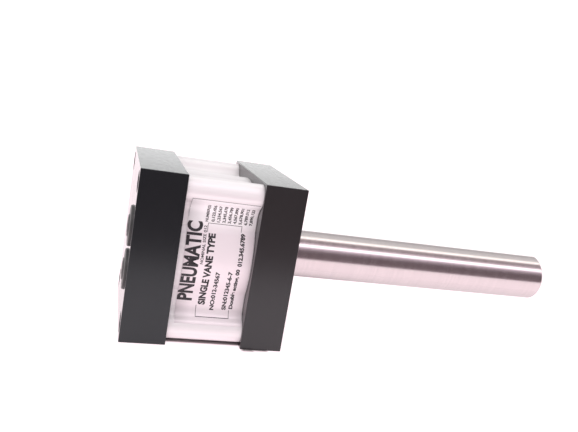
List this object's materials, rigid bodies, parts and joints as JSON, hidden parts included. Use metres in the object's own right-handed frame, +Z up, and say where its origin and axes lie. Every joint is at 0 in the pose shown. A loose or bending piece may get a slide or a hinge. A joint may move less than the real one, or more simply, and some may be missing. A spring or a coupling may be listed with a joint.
{
  "type": "rotary pneumatic actuator",
  "caption": "Rotary vane actuator: square black end plates clamp an extruded body, and a long plain round shaft leaves the front plate.",
  "frame": {"origin": "centre of the rear end plate's outer face, on the shaft's axis", "axes": "+X along the shaft toward its free end, +Z up, -Y toward the label side"},
  "size_m": [0.208, 0.0698, 0.0698],
  "materials": {
    "black_anodised": "satin black anodised, machined",
    "clear_anodised": "clear anodised extrusion",
    "ground_steel": "centreless ground and polished",
    "plain_steel": "turned",
    "black_steel": "black oxide",
    "bronze": "sintered bronze",
    "black_rubber": "moulded nitrile rubber",
    "dark_plastic": "moulded polyethylene",
    "label_film": "silvery printed polyester film"
  },
  "bodies": {
    "housing": {"rear_head": "black_anodised", "front_head": "black_anodised", "barrel": "clear_anodised", "label": "label_film", "stator": "clear_anodised", "stator_seal": "black_rubber", "stator_dowel_1": "plain_steel", "stator_dowel_2": "plain_steel", "rear_bushing": "bronze", "front_bushing": "bronze", "rear_thrust_washer": "plain_steel", "front_thrust_washer": "plain_steel", "shaft_seal": "black_rubber", "retaining_ring": "black_steel", "rear_body_o_ring": "black_rubber", "front_body_o_ring": "black_rubber", "tie_bolt_1": "black_steel", "tie_bolt_2": "black_steel", "tie_bolt_3": "black_steel", "tie_bolt_4": "black_steel", "port_plug_upper": "dark_plastic", "port_plug_lower": "dark_plastic"},
    "rotor": {"shaft": "ground_steel", "vane_core": "plain_steel", "vane_seal": "black_rubber", "vane_screw_1": "black_steel", "vane_screw_2": "black_steel", "vane_screw_3": "black_steel"}
  },
  "joints": [
    {"name": "shaft_turn", "type": "hinge", "parent": "housing", "child": "rotor", "pos_m": [0, 0, 0], "axis": [1, 0, 0], "range_deg": [-140, 140]}
  ]
}
